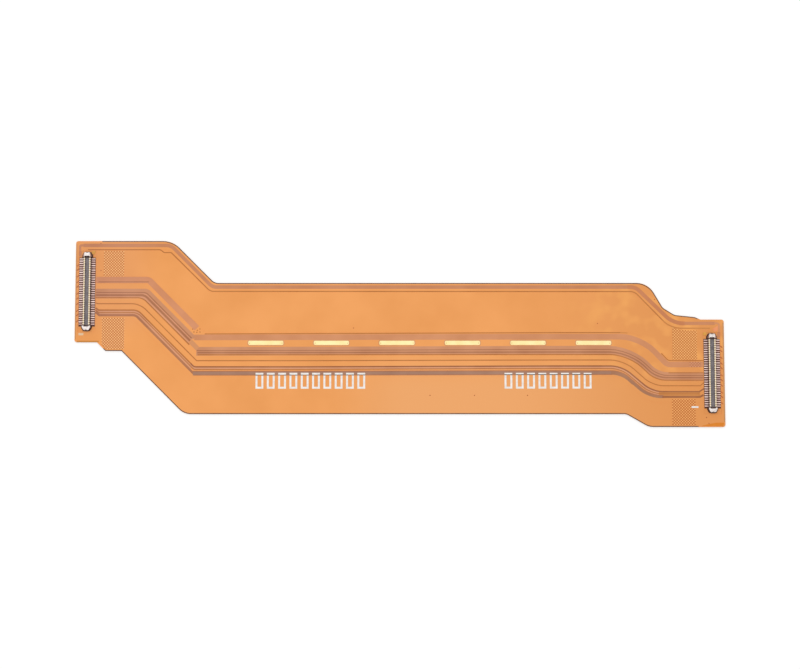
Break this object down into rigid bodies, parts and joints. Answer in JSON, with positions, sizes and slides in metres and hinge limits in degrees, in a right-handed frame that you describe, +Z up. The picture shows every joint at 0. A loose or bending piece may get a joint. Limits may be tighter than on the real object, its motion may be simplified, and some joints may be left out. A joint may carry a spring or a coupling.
{
  "type": "flat flex cable",
  "caption": "Flat Z-shaped printed flex cable with a two-row board plug on a stiffened lobe at each end.",
  "frame": {"origin": "middle of the film's box, on the surface that the two stiffeners lie on", "axes": "+X along the cable to its right-hand plug, +Y across it, +Z up out of the side that carries the plugs"},
  "size_m": [0.1002, 0.0288, 0.001],
  "materials": {
    "coverlay": "satin orange polyimide film",
    "base_film": "amber polyimide film",
    "copper": "etched copper foil",
    "stiffener": "plain laminated polyimide",
    "adhesive": "cured acrylic bond",
    "gold_pad": "bright gold plating",
    "tinned_land": "tinned",
    "plug_housing": "moulded, fine matt",
    "contact": "gold over nickel",
    "fitting": "bright tin"
  },
  "bodies": {
    "root": {"left_stiffener": "stiffener", "left_stiffener_adhesive": "adhesive", "right_stiffener": "stiffener", "right_stiffener_adhesive": "adhesive", "bottom_coverlay": "coverlay", "bottom_ground_foil": "copper", "base_film": "base_film", "edge_tracks": "copper", "upper_ground_plane": "copper", "via_track": "copper", "pad_rail": "copper", "fine_track_1": "copper", "fine_track_2": "copper", "power_track_1": "copper", "power_track_2": "copper", "fine_track_3": "copper", "lower_bundle": "copper", "lower_ground_plane": "copper", "top_coverlay": "coverlay", "ground_pad_1": "gold_pad", "ground_pad_2": "gold_pad", "ground_pad_3": "gold_pad", "ground_pad_4": "gold_pad", "ground_pad_5": "gold_pad", "ground_pad_6": "gold_pad", "left_solder_lands": "tinned_land", "left_fitting_lands": "tinned_land", "left_plug_housing": "plug_housing", "left_plug_outer_contacts": "contact", "left_plug_inner_contacts": "contact", "left_plug_upper_fitting": "fitting", "left_plug_lower_fitting": "fitting", "right_solder_lands": "tinned_land", "right_fitting_lands": "tinned_land", "right_plug_housing": "plug_housing", "right_plug_outer_contacts": "contact", "right_plug_inner_contacts": "contact", "right_plug_upper_fitting": "fitting", "right_plug_lower_fitting": "fitting"}
  },
  "joints": []
}
